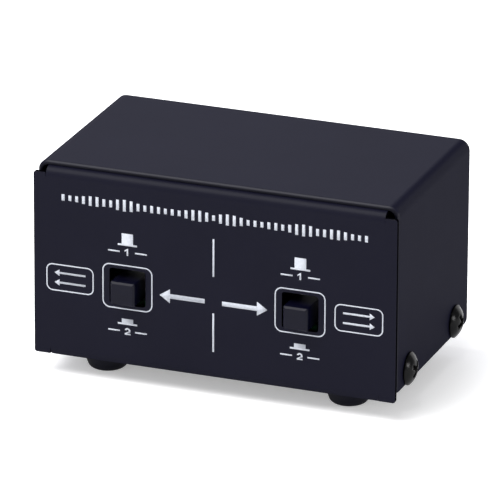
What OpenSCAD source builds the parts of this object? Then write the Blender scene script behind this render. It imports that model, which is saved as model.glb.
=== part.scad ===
// Passive audio source selector: a folded steel case with two latching push buttons on the front
// and eight phono sockets on the back. Millimetres, +Z up, the front panel faces -Y,
// the origin is under the middle of the outer box, at the height of the feet's soles.

/* [Case] */
// Width of the front panel
case_w = 104; // [100:1:130]
// Depth from the front panel's face to the cover's rear edge
case_d = 60; // [58:1:90]
// Height from the underside of the floor to the top of the cover
case_h = 55.6; // [53:0.2:75]
// Thickness of the sheet steel
sheet = 1.2; // [0.8:0.1:1.5]
// Outside radius of the chassis's bends
bend_r = 2.6; // [1.8:0.1:2.6]
// Depth of the flanges turned in at the tops of the front and rear panels
flange_d = 8; // [5:0.5:9]
// Drop from the cover's top to the tops of the front panel's corner tabs
tab_drop = 2.6; // [2.2:0.1:5]
// Rise from the underside of the floor to the bottoms of the corner tabs
tab_lift = 1.2; // [0.4:0.1:2]
// Corner radius of the panels' tabs
tab_r = 0.7; // [0.3:0.1:1.5]
// Step from the panel's side edge to the end of the bottom bend
bottom_fold_inset = 4.6; // [4:0.1:8]
// Height of the side flanges that take the cover screws
side_flange_h = 13; // [11.5:0.5:16]
// Step from the front and rear panels to the ends of the side flanges
side_flange_inset = 6; // [4:0.5:6.5]
// Step from the cover's rear edge in to the rear panel
rear_recess = 0.6; // [0.2:0.1:1.5]

/* [Cover] */
// Step from the front panel's side edge in to the cover's wall
cover_inset = 0.3; // [0.1:0.1:1]
// Outside radius of the cover's two bends
cover_bend_r = 3.1; // [2.4:0.1:5]
// Step from the front panel's face back to the cover's front edge
cover_setback = 2.4; // [1.8:0.1:4]
// Rise from the underside of the floor to the bottoms of the cover's walls
cover_lift = 2.2; // [1:0.1:2.4]
// Radius of the walls' lower corners
cover_corner_r = 2; // [0.5:0.1:3]
// Gap between the cover's walls and the chassis inside them
fit_gap = 0.3; // [0.1:0.05:0.6]

/* [Cover screws] */
// Distance of the screws from the front panel's face and from the cover's rear edge
screw_inset = 11.4; // [11.2:0.1:16]
// Height of the screws above the underside of the floor
screw_rise = 6.7; // [6.5:0.1:7.4]
// Thread diameter
screw_d = 4; // [3:0.5:4]
// Length under the head
screw_l = 6; // [5:0.5:8]
// Diameter of the head
screw_head_d = 9.2; // [7:0.1:9.6]
// Height of the domed head
screw_head_h = 2.4; // [1.8:0.1:3.2]
// Height of the head's straight rim
screw_rim_h = 0.5; // [0.3:0.1:0.8]
// Outside diameter of the nuts pressed into the side flanges
nut_d = 8; // [6.5:0.5:8]
// Height of those nuts
nut_h = 3; // [2:0.5:4]

/* [Feet] */
// Diameter of a foot at the floor
foot_d = 13.5; // [12:0.5:16]
// Diameter of a foot at its sole
foot_tip_d = 11.4; // [9.5:0.1:12]
// Height of a foot
foot_h = 5; // [4.5:0.5:10]
// Rounding of the sole's edge
foot_round = 1; // [0.4:0.1:1.5]
// Depth of the recess for the screw's head in the sole
foot_sink = 2.8; // [2.6:0.1:3.2]
// Distance between the left and right feet
foot_spread = 70; // [66:1:76]
// Distance of the feet from the front panel's face and from the cover's rear edge
foot_inset = 11; // [10:0.5:14]

/* [Circuit board] */
// Width of the board
board_w = 88; // [84:1:92]
// Thickness of the board
board_t = 1.6; // [1:0.2:2]
// Gap from the front panel's inside to the board
board_front_gap = 3.2; // [1:0.2:5]
// Gap from the board to the rear panel's inside
board_rear_gap = 3.8; // [1:0.2:5]
// Height of the standoffs under the board
standoff_h = 15.2; // [12:0.1:18]
// Width of a standoff across its flats
standoff_af = 5.5; // [5:0.5:6]
// Thread diameter of the screws in the standoffs and the socket blocks
small_d = 3; // [2.5:0.5:3]
// Head diameter of those screws
small_head_d = 5.5; // [5:0.1:6]
// Head height of those screws
small_head_h = 2; // [1.4:0.1:2.4]
// Length of the foot screws under the head
foot_screw_l = 8; // [7:0.5:10]
// Length of the board screws under the head
board_screw_l = 6; // [4:0.5:7]

/* [Buttons] */
// Distance between the two button axes
button_spread = 49.6; // [40:0.2:54]
// Width of a window in the front panel
window_w = 10.4; // [9:0.2:12]
// Height of a window
window_h = 10.3; // [9:0.1:12]
// Corner radius of a window
window_r = 0.8; // [0.3:0.1:2]
// Rise from the button's axis to the window's middle
window_lift = 0.6; // [0:0.1:1]
// Width of a button cap
cap_w = 7.4; // [5:0.1:8]
// Height of a button cap
cap_h = 6.5; // [5:0.1:8]
// Length of a button cap
cap_l = 10.1; // [9:0.1:11]
// How far a cap stands out of the panel when it is out
cap_out = 4.1; // [3.2:0.1:5]
// Width of the bevel round a cap's face
cap_bevel = 0.65; // [0.3:0.05:1.2]
// Rounding of a cap's long edges
cap_round = 0.3; // [0.1:0.1:1]
// Travel of a button
travel = 3; // [2:0.1:3]

/* [Push switches] */
// Width of a switch housing
switch_w = 8.5; // [8:0.1:10]
// Height of a switch housing
switch_h = 8.6; // [8.4:0.1:10]
// Length of a switch housing
switch_l = 23; // [22.5:0.5:26]
// Wall of a switch housing
switch_wall = 0.6; // [0.4:0.05:0.8]
// Distance from the front panel's face to a switch housing
switch_back = 11; // [10.5:0.5:12]
// Height of the plunger's axis above the board
switch_axis = 4.5; // [4.4:0.1:4.7]
// Thickness of the switch's base
base_t = 1.4; // [1:0.1:1.5]
// Width and height of the plunger's square stem
stem_w = 2.9; // [2:0.1:3.2]
// Depth that the stem goes into the cap
stem_grip = 5; // [3:0.2:6]
// Width of the plunger
plunger_w = 5.8; // [5.6:0.1:6.2]
// Height of the plunger
plunger_h = 4.4; // [4.2:0.1:4.6]
// Length of the plunger without its stem
plunger_l = 15.6; // [15.4:0.1:16]
// Gap between a sliding piece and its guide
slide_gap = 0.1; // [0.05:0.05:0.2]
// Distance between the two rows of terminals
terminal_spread = 3.9; // [3.7:0.1:4]
// Distance from the housing's front to the first terminal
terminal_start = 5; // [4.6:0.1:5.2]
// Thickness of a terminal blade
blade_t = 0.5; // [0.3:0.05:0.6]
// Length of a terminal blade along the travel
blade_l = 1.4; // [1:0.1:1.6]
// Height of a terminal blade over the base
blade_h = 1.9; // [1.6:0.1:2.1]
// Diameter of a terminal pin
pin_d = 0.7; // [0.5:0.1:0.9]
// Length of the pins under the board
pin_l = 1.8; // [1:0.1:3]
// Thickness of a contact clip's strip
clip_t = 0.2; // [0.15:0.05:0.3]
// Height of a contact clip
clip_h = 2.3; // [2.2:0.1:2.5]

/* [Springs and latches] */
// Outside diameter of a return spring
spring_d = 3; // [2.4:0.1:3.2]
// Wire of a return spring
spring_wire = 0.4; // [0.3:0.05:0.5]
// Turns of a return spring
spring_turns = 7; // [5:1:8]
// Depth of the spring's seat in the plunger
spring_seat = 3.4; // [2:0.2:3.6]
// Distance from the housing's rear wall to the latch's pivot
latch_pivot_gap = 1.9; // [1.6:0.1:2]
// Length of the latch lever between its pins
latch_l = 12.5; // [12.3:0.1:12.8]
// Width of the latch lever
latch_w = 1.2; // [1:0.1:1.4]
// Thickness of the latch lever
latch_t = 0.4; // [0.3:0.05:0.5]
// Diameter of the latch's pivot pin
latch_pivot_d = 0.8; // [0.6:0.1:1]
// Diameter of the latch's follower pin
latch_tip_d = 0.6; // [0.5:0.05:0.65]
// How far the follower pin swings aside over the travel
latch_swing = 1.5; // [1.4:0.05:1.6]
// Depth of the heart-shaped track in the plunger's top
track_depth = 0.9; // [0.7:0.1:1]

/* [Phono sockets] */
// Distance between the two socket blocks
jack_spread = 34; // [30:1:34]
// Width of a socket block
jack_w = 28; // [26:0.5:28]
// Depth of a socket block
jack_d = 12; // [10:0.5:13]
// Height of a socket block
jack_h = 27.5; // [26:0.5:30]
// Distance between the columns of sockets in a block
socket_dx = 14; // [13:0.5:15]
// Distance between the rows of sockets in a block
socket_dz = 13.5; // [12.5:0.5:15]
// Height of the lower row above the board
socket_rise = 7; // [6.5:0.5:7.5]
// How far a socket stands out of the rear panel
jack_out = 9; // [8:0.5:11]
// Outside diameter of a socket's shell, where the plug's ring goes
shell_d = 8.3; // [8:0.1:8.4]
// Wall of a socket's shell
shell_wall = 0.6; // [0.4:0.1:0.7]
// Diameter of the shell inside the block
shell_root_d = 8.8; // [8.6:0.1:9]
// Diameter of the shell's flange behind the block
shell_flange_d = 10; // [9.6:0.1:10.4]
// Thickness of that flange
shell_flange_t = 1; // [0.6:0.1:1.4]
// Diameter of the block's round bosses in the rear panel
boss_d = 10.6; // [10.2:0.1:11]
// How far a boss stands out of the rear panel
boss_out = 0.6; // [0.2:0.1:1]
// Bore of a centre contact, where the plug's pin goes
contact_bore = 3.3; // [3.2:0.05:3.5]
// Wall of a centre contact
contact_wall = 0.4; // [0.3:0.05:0.5]
// Step from the shell's mouth back to a centre contact
contact_sink = 1.5; // [1:0.1:3]
// Depth of the hole in a centre contact
contact_depth = 16; // [14:0.5:18]
// Step from the shell's mouth back to the insulating insert
insert_sink = 0.4; // [0.2:0.1:1]
// Thickness of a contact's end wall, its leg and the ground plate
leg_t = 0.5; // [0.3:0.1:0.6]
// Width of a leg
leg_w = 1.2; // [0.8:0.1:1.4]
// Gap between the ground plate and the legs in front of it
leg_gap = 0.5; // [0.3:0.1:0.8]
// Height of the ground plate
ground_h = 24; // [22:0.5:25]
// Distance between the ground plate's two legs
ground_spread = 22; // [20:0.5:23]
// Length of the screws that hold the blocks, under the head
jack_screw_l = 8; // [6:0.5:9]

/* [Clearances] */
// Radial gap round a screw in its thread, or a piece pressed into another
thread_gap = 0.05; // [0.02:0.01:0.1]
// Radial gap round a screw, pin or boss in a hole that it passes through
hole_gap = 0.2; // [0.1:0.05:0.3]

/* [Hidden] */
$fn = 64;
eps = 0.01;

// Colours
case_black = [0.13, 0.13, 0.17];
part_black = [0.08, 0.08, 0.1];
steel = [0.7, 0.71, 0.73];
brass = [0.8, 0.65, 0.3];
board_green = [0.1, 0.36, 0.2];
phenolic = [0.55, 0.36, 0.2];
socket_white = [0.93, 0.93, 0.9];
socket_red = [0.75, 0.1, 0.1];

// Levels and planes of the case
front_y = -(case_d - rear_recess + jack_out - cap_out) / 2;
cover_rear_y = front_y + case_d;
rear_y = cover_rear_y - rear_recess;
panel_in_y = front_y + sheet;
rear_in_y = rear_y - sheet;
front_bend_y = front_y + bend_r;
rear_bend_y = rear_y - bend_r;
floor_z = foot_h;
floor_top = floor_z + sheet;
top_z = floor_z + case_h;
flange_top = top_z - sheet;
mid_z = (floor_z + top_z) / 2;
cover_half = case_w / 2 - cover_inset;
tray_half = cover_half - sheet - fit_gap;
top_fold_half = cover_half - cover_bend_r - slide_gap;
bottom_fold_half = case_w / 2 - bottom_fold_inset;
rear_tab_top = top_z - cover_bend_r - slide_gap;

// Places of the screws, the feet and the board
screw_ys = [front_y + screw_inset, cover_rear_y - screw_inset];
screw_z = floor_z + screw_rise;
foot_ys = [front_y + foot_inset, cover_rear_y - foot_inset];
foot_spots = [for (x = [-1, 1] * foot_spread / 2, y = foot_ys) [x, y]];
board_front_y = panel_in_y + board_front_gap;
board_rear_y = rear_in_y - board_rear_gap;
board_bottom = floor_top + standoff_h;
board_top = board_bottom + board_t;
small_r = small_d / 2;
leg_hole_r = norm([leg_w, leg_t]) / 2 + hole_gap;

// Places inside a push switch
output_x = -button_spread / 2;
input_x = button_spread / 2;
axis_z = board_top + switch_axis;
window_z = axis_z + window_lift;
cap_front_y = front_y - cap_out;
cap_rear_y = cap_front_y + cap_l;
switch_y = front_y + switch_back;
switch_in_y = switch_y + switch_wall;
switch_end_y = switch_y + switch_l - switch_wall;
switch_roof = board_top + switch_h - switch_wall;
base_top = board_top + base_t;
plunger_y = switch_in_y + slide_gap;
plunger_end_y = plunger_y + plunger_l;
plunger_bottom = axis_z - plunger_h / 2;
plunger_top = axis_z + plunger_h / 2;
terminal_xs = [-1, 1] * terminal_spread / 2;
terminal_ys = [for (k = [0:2]) switch_y + terminal_start + k * travel];
pin_bottom = board_bottom - pin_l;
clip_w = blade_t + 2 * slide_gap + 2 * clip_t;
clip_l = travel + blade_l + 2 * slide_gap;
clip_bottom = base_top + 3 * slide_gap;
clip_top = clip_bottom + clip_h;
clip_mid_y = (terminal_ys[0] + terminal_ys[1]) / 2;
groove_end_y = terminal_ys[2] + blade_l / 2 + 2 * slide_gap;
spring_y0 = plunger_end_y - spring_seat + slide_gap;
spring_y1 = switch_end_y - slide_gap;
latch_pivot_y = switch_end_y - latch_pivot_gap;
latch_tip_y = latch_pivot_y - latch_l;
latch_bottom = plunger_top + 2 * slide_gap;
track_bottom = plunger_top - track_depth;

// Places inside a socket block
output_jack_x = -jack_spread / 2;
input_jack_x = jack_spread / 2;
jack_in_y = rear_in_y - jack_d;
jack_tip_y = rear_y + jack_out;
boss_y = rear_y + boss_out;
socket_zs = [board_top + socket_rise, board_top + socket_rise + socket_dz];
socket_xs = [-1, 1] * socket_dx / 2;
jack_screw_z = (socket_zs[0] + socket_zs[1]) / 2;
contact_r = contact_bore / 2 + contact_wall;
contact_tip_y = jack_tip_y - contact_sink;
insert_r = shell_d / 2 - shell_wall - thread_gap;
ground_y = jack_in_y - leg_t;
contact_end_ys = [ground_y - leg_gap - leg_t, ground_y - 2 * leg_gap - 2 * leg_t];
ground_bottom = board_top + (jack_h - ground_h) / 2;

// A rectangle with four rounded corners, from its low corner to its high one
module rounded_2d(low, high, r) {
    translate([low[0] + r, low[1]]) square([high[0] - low[0] - 2 * r, high[1] - low[1]]);
    translate([low[0], low[1] + r]) square([high[0] - low[0], high[1] - low[1] - 2 * r]);
    for (a = [low[0] + r, high[0] - r], b = [low[1] + r, high[1] - r])
        translate([a, b]) circle(r);
}

// A rectangle with its middle given
module middle_2d(mid, size, r) {
    rounded_2d(mid - size / 2, mid + size / 2, r);
}

// A rectangle with both corners on its low side cut off at 45 degrees
module bevelled_2d(low, high, cut) {
    polygon([[low[0] + cut, low[1]], [high[0], low[1]], high, [low[0] + cut, high[1]],
        [low[0], high[1] - cut], [low[0], low[1] + cut]]);
}

// A shape drawn in X and Z, made solid from y0 to y1
module xz_slab(y0, y1) {
    translate([0, y1, 0]) rotate([90, 0, 0]) linear_extrude(y1 - y0) children();
}

// A shape drawn in Y and Z, made solid from x0 to x1
module yz_slab(x0, x1) {
    translate([x0, 0, 0]) rotate([90, 0, 90]) linear_extrude(x1 - x0) children();
}

// A shape drawn in X and Y, made solid from z0 to z1
module xy_slab(z0, z1) {
    translate([0, 0, z0]) linear_extrude(z1 - z0) children();
}

// Turns what stands along +Z to stand along +Y at the given point
module along_y(point) {
    translate(point) rotate([-90, 0, 0]) children();
}

// Turns what stands along +Z to stand along X at the given point, outwards on either side
module along_x(point, side) {
    translate(point) rotate([0, 90 * side, 0]) children();
}

// A plain hole or pin along +Z between two levels
module rod(r, z0, z1) {
    translate([0, 0, z0]) cylinder(r = r, h = z1 - z0);
}

// A tube along +Z between two levels
module tube(r_out, r_in, z0, z1) {
    difference() {
        rod(r_out, z0, z1);
        rod(r_in, z0 - 1, z1 + 1);
    }
}

// The half outline of a domed screw head that stands on its seat at level 0
module dome_2d(head_r, head_h, rim_h) {
    sag = head_h - rim_h;
    dome_r = (head_r * head_r + sag * sag) / (2 * sag);
    intersection() {
        square([head_r, head_h]);
        translate([0, head_h - dome_r]) circle(dome_r, $fn = 128);
    }
}

// A screw with a domed head above level 0 and a shank below it, with a cross recess in the head
module screw(d, l, head_d, head_h, rim_h) {
    recess_w = head_d * 0.13;
    recess_l = head_d * 0.5;
    recess_h = head_h * 0.55;
    difference() {
        union() {
            rotate_extrude() dome_2d(head_d / 2, head_h, rim_h);
            rod(d / 2, -l, head_h / 4);
        }
        for (size = [[recess_l, recess_w], [recess_w, recess_l]])
            translate([-size[0] / 2, -size[1] / 2, head_h - recess_h]) cube([size[0], size[1], head_h]);
    }
}

// One of the small screws
module small_screw(l) {
    screw(small_d, l, small_head_d, small_head_h, small_head_h * 0.3);
}

// The folded strip's outline from the side: floor, front and rear panels and the flanges over them
module fold_2d() {
    inside_r = bend_r - sheet;
    difference() {
        rounded_2d([front_y, floor_z], [rear_y, flange_top], bend_r);
        rounded_2d([panel_in_y, floor_top], [rear_in_y, flange_top - sheet], inside_r);
        translate([front_y + flange_d, mid_z]) square([rear_y - front_y - 2 * flange_d, case_h]);
    }
}

// The floor with its upturned side flanges, from the front
module tray_2d() {
    inside_r = bend_r - sheet;
    intersection() {
        difference() {
            rounded_2d([-tray_half, floor_z], [tray_half, top_z], bend_r);
            rounded_2d([sheet - tray_half, floor_top], [tray_half - sheet, top_z + sheet], inside_r);
        }
        translate([-case_w, floor_z]) square([2 * case_w, side_flange_h]);
    }
}

// The front panel's windows for the buttons
module windows_2d() {
    for (x = [output_x, input_x])
        middle_2d([x, window_z], [window_w, window_h], window_r);
}

// A stretch of the folded strip between two depths: its lower or its upper half
module lower_strip(y0, y1) {
    yz_slab(-bottom_fold_half, bottom_fold_half) intersection() {
        fold_2d();
        translate([y0, floor_z]) square([y1 - y0, mid_z - floor_z]);
    }
}

module upper_strip(y0, y1) {
    yz_slab(-top_fold_half, top_fold_half) intersection() {
        fold_2d();
        translate([y0, mid_z]) square([y1 - y0, top_z - mid_z]);
    }
}

// The chassis is folded from one sheet. Its three nodes meet where the lower bends run out into the floor.

// Front panel with the buttons' windows, the bend under it and the flange over it
module chassis_front() {
    color(case_black) difference() {
        union() {
            lower_strip(front_y, front_bend_y);
            upper_strip(front_y, front_y + flange_d);
            xz_slab(front_y, panel_in_y)
                rounded_2d([-case_w / 2, floor_z + tab_lift], [case_w / 2, top_z - tab_drop], tab_r);
        }
        xz_slab(front_y - 1, panel_in_y + 1) windows_2d();
    }
}

// Floor with its upturned side flanges
module chassis_floor() {
    color(case_black) difference() {
        union() {
            lower_strip(front_bend_y, rear_bend_y);
            xz_slab(panel_in_y + side_flange_inset, rear_in_y - side_flange_inset) tray_2d();
        }
        for (side = [-1, 1], y = screw_ys)
            along_x([side * tray_half, y, screw_z], side) rod(screw_d / 2 + thread_gap, -2 * sheet, 1);
        for (spot = foot_spots)
            translate(spot) rod(small_r + hole_gap, floor_z - 1, floor_top + 1);
    }
}

// Rear panel with the sockets' holes, the bend under it and the flange over it
module chassis_rear() {
    color(case_black) difference() {
        union() {
            lower_strip(rear_bend_y, rear_y);
            upper_strip(rear_y - flange_d, rear_y);
            xz_slab(rear_in_y, rear_y)
                rounded_2d([-tray_half, floor_z + cover_lift], [tray_half, rear_tab_top], tab_r);
        }
        for (block = [output_jack_x, input_jack_x]) {
            for (x = socket_xs, z = socket_zs)
                along_y([block + x, rear_y, z]) rod(boss_d / 2 + hole_gap, -2 * sheet, 1);
            along_y([block, rear_y, jack_screw_z]) rod(small_r + hole_gap, -2 * sheet, 1);
        }
    }
}

// The square corner left over outside a rounded one, pointing to low Y and low Z
module corner_2d(r) {
    difference() {
        translate([-1, -1]) square(r + 1);
        translate([r, r]) circle(r);
    }
}

// Top and side walls, folded from one sheet
module cover() {
    wall_bottom = floor_z + cover_lift;
    cover_front_y = front_y + cover_setback;
    inside_r = cover_bend_r - sheet;
    color(case_black) difference() {
        xz_slab(cover_front_y, cover_rear_y) difference() {
            intersection() {
                rounded_2d([-cover_half, floor_z - case_h], [cover_half, top_z], cover_bend_r);
                translate([-case_w, wall_bottom]) square([2 * case_w, case_h]);
            }
            rounded_2d([sheet - cover_half, floor_z - case_h], [cover_half - sheet, top_z - sheet], inside_r);
        }
        yz_slab(-case_w, case_w) {
            translate([cover_front_y, wall_bottom]) corner_2d(cover_corner_r);
            translate([cover_rear_y, wall_bottom]) mirror([1, 0]) corner_2d(cover_corner_r);
        }
        for (side = [-1, 1], y = screw_ys)
            along_x([side * cover_half, y, screw_z], side) rod(screw_d / 2 + hole_gap, -2 * sheet, 1);
    }
}

// The screws that hold the cover to the side flanges
module side_screws() {
    color(part_black) for (side = [-1, 1], y = screw_ys)
        along_x([side * cover_half, y, screw_z], side)
            screw(screw_d, screw_l, screw_head_d, screw_head_h, screw_rim_h);
}

// The nuts pressed on behind the side flanges
module clinch_nuts() {
    color(steel) for (side = [-1, 1], y = screw_ys)
        along_x([side * (tray_half - sheet), y, screw_z], side)
            tube(nut_d / 2, screw_d / 2 + thread_gap, -nut_h, 0);
}

// Tapered rubber feet with a recess for the screw in the sole
module feet() {
    tip_r = foot_tip_d / 2;
    color(part_black) for (spot = foot_spots)
        translate(spot) difference() {
            rotate_extrude() {
                square([tip_r - foot_round, foot_h]);
                translate([tip_r - foot_round, foot_round]) circle(foot_round);
                polygon([[0, foot_round], [tip_r, foot_round], [foot_d / 2, foot_h], [0, foot_h]]);
            }
            rod(small_r + hole_gap, -1, foot_h + 1);
            rod(small_head_d / 2 + 2 * hole_gap, -1, foot_sink);
        }
}

// The screws through the feet and the floor into the standoffs
module foot_screws() {
    color(steel) for (spot = foot_spots)
        translate([spot[0], spot[1], foot_sink]) rotate([180, 0, 0]) small_screw(foot_screw_l);
}

// Hexagonal pillars that carry the board
module standoffs() {
    color(brass) for (spot = foot_spots)
        translate([spot[0], spot[1], floor_top]) difference() {
            cylinder(d = standoff_af / cos(30), h = standoff_h, $fn = 6);
            rod(small_r + thread_gap, -1, standoff_h + 1);
        }
}

// The board with the holes for its screws and for every soldered leg
module circuit_board() {
    color(board_green) xy_slab(board_bottom, board_top) difference() {
        translate([-board_w / 2, board_front_y]) square([board_w, board_rear_y - board_front_y]);
        for (spot = foot_spots)
            translate(spot) circle(small_r + hole_gap);
        for (x = [output_x, input_x], dx = terminal_xs, y = terminal_ys)
            translate([x + dx, y]) circle(pin_d / 2 + hole_gap);
        for (x = [output_jack_x, input_jack_x]) {
            for (dx = socket_xs, y = contact_end_ys)
                translate([x + dx, y + leg_t / 2]) circle(leg_hole_r);
            for (dx = [-1, 1] * ground_spread / 2)
                translate([x + dx, ground_y + leg_t / 2]) circle(leg_hole_r);
        }
    }
}

// The screws through the board into the standoffs
module board_screws() {
    color(steel) for (spot = foot_spots)
        translate([spot[0], spot[1], board_top]) small_screw(board_screw_l);
}

// The box of a push switch, open below, with the stem's hole in front and the latch's hole on top
module switch_housing(x) {
    inside_w = switch_w - 2 * switch_wall;
    stem_hole = stem_w + 2 * slide_gap;
    color(steel) difference() {
        translate([x - switch_w / 2, switch_y, board_top]) cube([switch_w, switch_l, switch_h]);
        translate([x - inside_w / 2, switch_in_y, board_top - 1])
            cube([inside_w, switch_end_y - switch_in_y, switch_roof - board_top + 1]);
        translate([x - stem_hole / 2, switch_y - 1, axis_z - stem_hole / 2])
            cube([stem_hole, switch_wall + 2, stem_hole]);
        translate([x, latch_pivot_y, 0])
            rod(latch_pivot_d / 2 + thread_gap, switch_roof - 1, switch_roof + switch_wall + 1);
    }
}

// The insulating plate under a push switch
module switch_base(x) {
    base_w = switch_w - 2 * switch_wall - 2 * thread_gap;
    color(phenolic) xy_slab(board_top, base_top) difference() {
        translate([x - base_w / 2, switch_in_y + thread_gap])
            square([base_w, switch_end_y - switch_in_y - 2 * thread_gap]);
        for (dx = terminal_xs, y = terminal_ys)
            translate([x + dx, y]) circle(pin_d / 2 + thread_gap);
    }
}

// The fixed contacts of a push switch: a blade over the base and a pin down through the board
module switch_terminals(x) {
    color(brass) for (dx = terminal_xs, y = terminal_ys)
        translate([x + dx, y, 0]) {
            rod(pin_d / 2, pin_bottom, base_top + blade_h / 2);
            translate([-blade_t / 2, -blade_l / 2, base_top]) cube([blade_t, blade_l, blade_h]);
        }
}

// The track that guides the latch's follower round a heart-shaped island
module track_2d() {
    room = latch_tip_d / 2 + 2 * slide_gap;
    half = latch_swing + room;
    difference() {
        translate([-half, -travel - room]) square([2 * half, travel + 2 * room]);
        polygon([for (p = [[0, 0.27], [0.24, 0.55], [0.13, 0.74], [0, 0.66], [-0.13, 0.74], [-0.24, 0.55]])
            [p[0] * latch_swing, -p[1] * travel]]);
    }
}

// The sliding plunger: stem in front, grooves for the contacts below, latch track on top, spring seat behind
module plunger(x) {
    stem_y = cap_rear_y - stem_grip + slide_gap;
    groove_w = blade_t + 4 * slide_gap;
    slot_w = clip_w + 2 * thread_gap;
    slot_l = clip_l + 2 * thread_gap;
    groove_top = base_top + blade_h + 2 * slide_gap;
    color(part_black) difference() {
        union() {
            translate([x - stem_w / 2, stem_y, axis_z - stem_w / 2])
                cube([stem_w, plunger_y - stem_y + 1, stem_w]);
            translate([x - plunger_w / 2, plunger_y, plunger_bottom]) cube([plunger_w, plunger_l, plunger_h]);
        }
        for (dx = terminal_xs) {
            translate([x + dx - groove_w / 2, plunger_y - eps, plunger_bottom - 1])
                cube([groove_w, groove_end_y - plunger_y, groove_top - plunger_bottom + 1]);
            translate([x + dx - slot_w / 2, clip_mid_y - slot_l / 2, plunger_bottom - 1])
                cube([slot_w, slot_l, clip_top - plunger_bottom + 1]);
        }
        xy_slab(track_bottom, plunger_top + 1) translate([x, latch_tip_y]) track_2d();
        along_y([x, plunger_end_y, axis_z]) rod(spring_d / 2 + hole_gap, -spring_seat, 1);
    }
}

// The clips that ride in the plunger and bridge two neighbouring blades on each side
module contact_clips(x) {
    inside_w = clip_w - 2 * clip_t;
    color(brass) for (dx = terminal_xs)
        translate([x + dx, clip_mid_y - clip_l / 2, clip_bottom]) difference() {
            translate([-clip_w / 2, 0, 0]) cube([clip_w, clip_l, clip_h]);
            translate([-inside_w / 2, -1, -1]) cube([inside_w, clip_l + 2, clip_h - clip_t + 1]);
        }
}

// Points of the return spring's wire: a helix along Y, with a ring of points round each of its steps
coil_r = (spring_d - spring_wire) / 2;
coil_steps = 8 * spring_turns;
wire_sides = 6;
coil_pitch = (spring_y1 - spring_y0 - spring_wire) / spring_turns;
function coil_turn(i) = 360 * spring_turns * i / coil_steps;
function coil_y(i) = spring_y0 + spring_wire / 2 + coil_pitch * spring_turns * i / coil_steps;
function coil_mid(i) = [coil_r * cos(coil_turn(i)), coil_y(i), coil_r * sin(coil_turn(i))];
function wire_point(i, k) =
    let (b = 360 * k / wire_sides, r = coil_r + cos(b) * spring_wire / 2)
    [r * cos(coil_turn(i)), coil_y(i) + sin(b) * spring_wire / 2, r * sin(coil_turn(i))];
coil_spans = [for (i = [0:coil_steps], j = [i + 4:1:coil_steps]) norm(coil_mid(i) - coil_mid(j))];
echo(least_gap_between_spring_turns = min(coil_spans) - spring_wire);

// The coil spring that pushes a plunger out
module return_spring(x) {
    points = [for (i = [0:coil_steps], k = [0:wire_sides - 1]) wire_point(i, k)];
    sides = [for (i = [0:coil_steps - 1], k = [0:wire_sides - 1])
        let (a = i * wire_sides + k, b = i * wire_sides + (k + 1) % wire_sides)
        each [[a, a + wire_sides, b], [b, a + wire_sides, b + wire_sides]]];
    last = coil_steps * wire_sides;
    ends = [for (k = [1:wire_sides - 2]) each [[0, k, k + 1], [last, last + k + 1, last + k]]];
    color(steel) translate([x, 0, axis_z]) polyhedron(points, concat(sides, ends));
}

// The lever that holds a pressed plunger: a pivot in the housing's roof, a follower pin in the track
module latch_lever(x) {
    lever_top = latch_bottom + latch_t;
    color(steel) {
        xy_slab(latch_bottom, lever_top) {
            translate([x - latch_w / 2, latch_tip_y]) square([latch_w, latch_l]);
            for (y = [latch_tip_y, latch_pivot_y])
                translate([x, y]) circle(latch_w / 2);
        }
        translate([x, latch_pivot_y, 0])
            rod(latch_pivot_d / 2, latch_bottom + latch_t / 2, switch_roof + switch_wall / 2);
        translate([x, latch_tip_y, 0])
            rod(latch_tip_d / 2, track_bottom + 2 * slide_gap, latch_bottom + latch_t / 2);
    }
}

// The cap that is pressed, with a bevel round its face and a blind socket for the stem
module button_cap(x) {
    socket_w = stem_w + 2 * thread_gap;
    low = [x - cap_w / 2, cap_front_y, axis_z - cap_h / 2];
    high = [x + cap_w / 2, cap_rear_y, axis_z + cap_h / 2];
    color(part_black) difference() {
        intersection() {
            xz_slab(low[1], high[1]) rounded_2d([low[0], low[2]], [high[0], high[2]], cap_round);
            yz_slab(low[0], high[0]) bevelled_2d([low[1], low[2]], [high[1], high[2]], cap_bevel);
            xy_slab(low[2], high[2]) rotate(90)
                bevelled_2d([low[1], -high[0]], [high[1], -low[0]], cap_bevel);
        }
        translate([x - socket_w / 2, cap_rear_y - stem_grip, axis_z - socket_w / 2])
            cube([socket_w, stem_grip + 1, socket_w]);
    }
}

// The moulded block of four phono sockets, with its bosses in the rear panel's holes
module jack_housing(x) {
    color(part_black) difference() {
        union() {
            translate([x - jack_w / 2, jack_in_y, board_top]) cube([jack_w, jack_d, jack_h]);
            for (dx = socket_xs, z = socket_zs)
                along_y([x + dx, 0, z]) rod(boss_d / 2, rear_in_y - 1, boss_y);
        }
        for (dx = socket_xs, z = socket_zs)
            along_y([x + dx, 0, z]) {
                rod(shell_root_d / 2 + thread_gap, jack_in_y - 1, boss_y + 1);
                rod(shell_flange_d / 2 + thread_gap, jack_in_y - 1, jack_in_y + shell_flange_t);
            }
        along_y([x, 0, jack_screw_z]) rod(small_r + thread_gap, rear_y - jack_screw_l - 1, rear_y + 1);
    }
}

// The metal shells of a block's sockets
module jack_shells(x) {
    color(steel) for (dx = socket_xs, z = socket_zs)
        along_y([x + dx, 0, z]) difference() {
            union() {
                rod(shell_flange_d / 2, jack_in_y, jack_in_y + shell_flange_t);
                rod(shell_root_d / 2, jack_in_y, boss_y);
                rod(shell_d / 2, jack_in_y, jack_tip_y);
            }
            rod(shell_d / 2 - shell_wall, jack_in_y - 1, jack_tip_y + 1);
        }
}

// The coloured insulators of one column of sockets, with the plug pin's hole in front
module jack_inserts(x, tint) {
    color(tint) for (z = socket_zs)
        along_y([x, 0, z]) difference() {
            rod(insert_r, jack_in_y, jack_tip_y - insert_sink);
            rod(contact_r + thread_gap, jack_in_y - 1, contact_tip_y + thread_gap);
            rod(contact_bore / 2 + thread_gap, jack_in_y, jack_tip_y);
        }
}

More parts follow.
